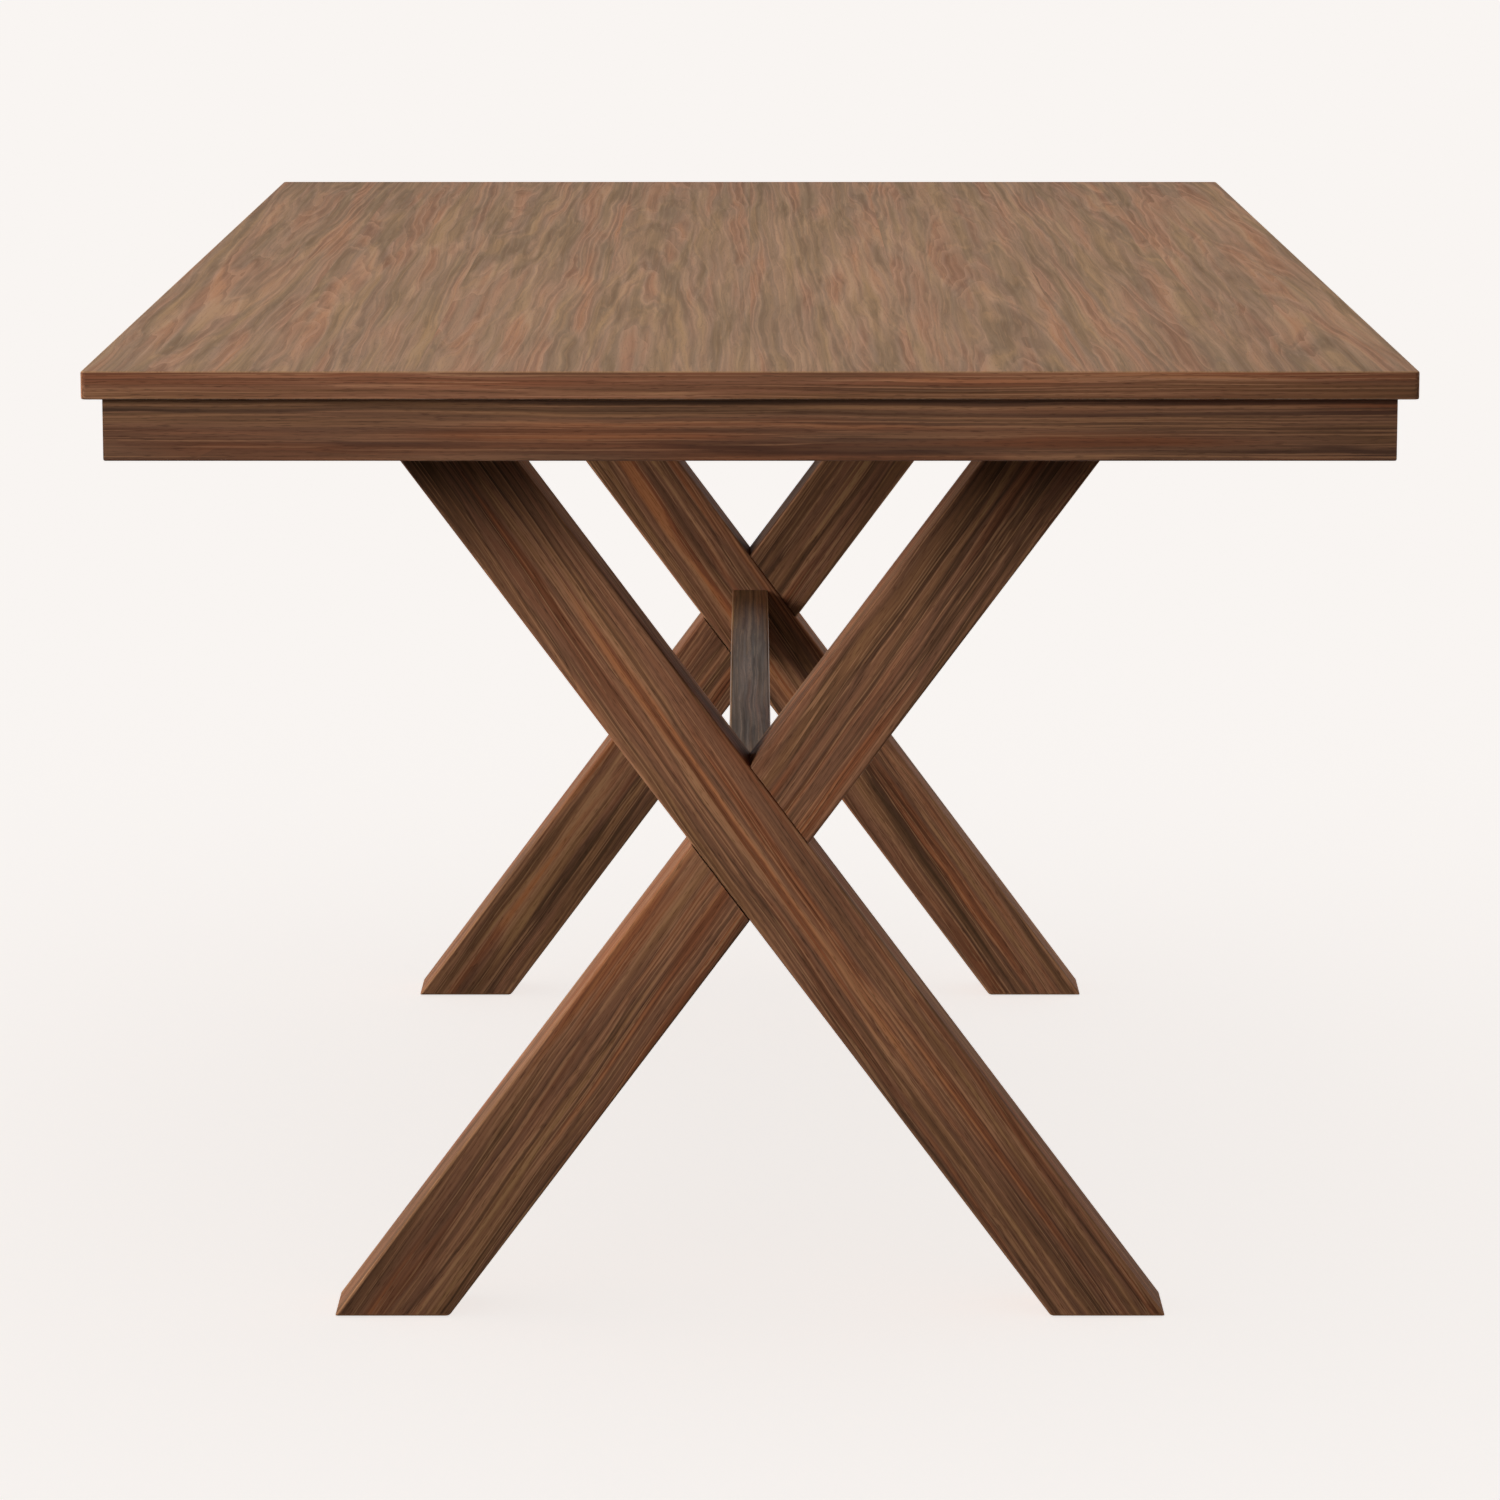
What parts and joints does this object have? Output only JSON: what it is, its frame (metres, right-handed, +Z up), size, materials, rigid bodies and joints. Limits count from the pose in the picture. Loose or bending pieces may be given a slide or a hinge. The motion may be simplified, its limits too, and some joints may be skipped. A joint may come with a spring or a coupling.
{
  "type": "dining table",
  "caption": "Rectangular walnut dining table with a thin overhanging top, a low apron, half-lapped X-shaped leg frames and a slim stretcher between their crossings.",
  "frame": {"origin": "on the floor, below the middle of the top", "axes": "+X across the table, +Y along its length, +Z up"},
  "size_m": [0.94, 1.829, 0.762],
  "materials": {
    "walnut_face_veneer": "satin lacquer",
    "backing_veneer": "sealed veneer",
    "fibreboard": "raw board",
    "lipping_walnut": "satin lacquer",
    "apron_walnut": "satin lacquer",
    "leg_walnut": "satin lacquer",
    "beech": "planed",
    "zinc_plated_steel": "bright zinc",
    "felt": "felt"
  },
  "bodies": {
    "root": {"batten_bolts": "zinc_plated_steel", "batten_washers": "zinc_plated_steel", "cleat_screws": "zinc_plated_steel", "corner_block_screws": "zinc_plated_steel", "front_batten": "beech", "front_edge_lipping": "lipping_walnut", "front_end_apron": "apron_walnut", "front_end_cleat": "beech", "front_inner_leg": "leg_walnut", "front_left_corner_block": "beech", "front_left_floor_pad": "felt", "front_outer_leg": "leg_walnut", "front_right_corner_block": "beech", "front_right_floor_pad": "felt", "left_edge_lipping": "lipping_walnut", "left_front_cleat": "beech", "left_middle_cleat": "beech", "left_rear_cleat": "beech", "left_side_apron": "apron_walnut", "leg_top_dowels": "beech", "leg_top_screws": "zinc_plated_steel", "rear_batten": "beech", "rear_edge_lipping": "lipping_walnut", "rear_end_apron": "apron_walnut", "rear_end_cleat": "beech", "rear_inner_leg": "leg_walnut", "rear_left_corner_block": "beech", "rear_left_floor_pad": "felt", "rear_outer_leg": "leg_walnut", "rear_right_corner_block": "beech", "rear_right_floor_pad": "felt", "right_edge_lipping": "lipping_walnut", "right_front_cleat": "beech", "right_middle_cleat": "beech", "right_rear_cleat": "beech", "right_side_apron": "apron_walnut", "stretcher": "leg_walnut", "stretcher_dowels": "beech", "stretcher_hanger_bolts": "zinc_plated_steel", "stretcher_nuts": "zinc_plated_steel", "stretcher_washers": "zinc_plated_steel", "top_backing_veneer": "backing_veneer", "top_core_panel": "fibreboard", "top_face_veneer": "walnut_face_veneer", "top_threaded_inserts": "zinc_plated_steel"}
  },
  "joints": []
}
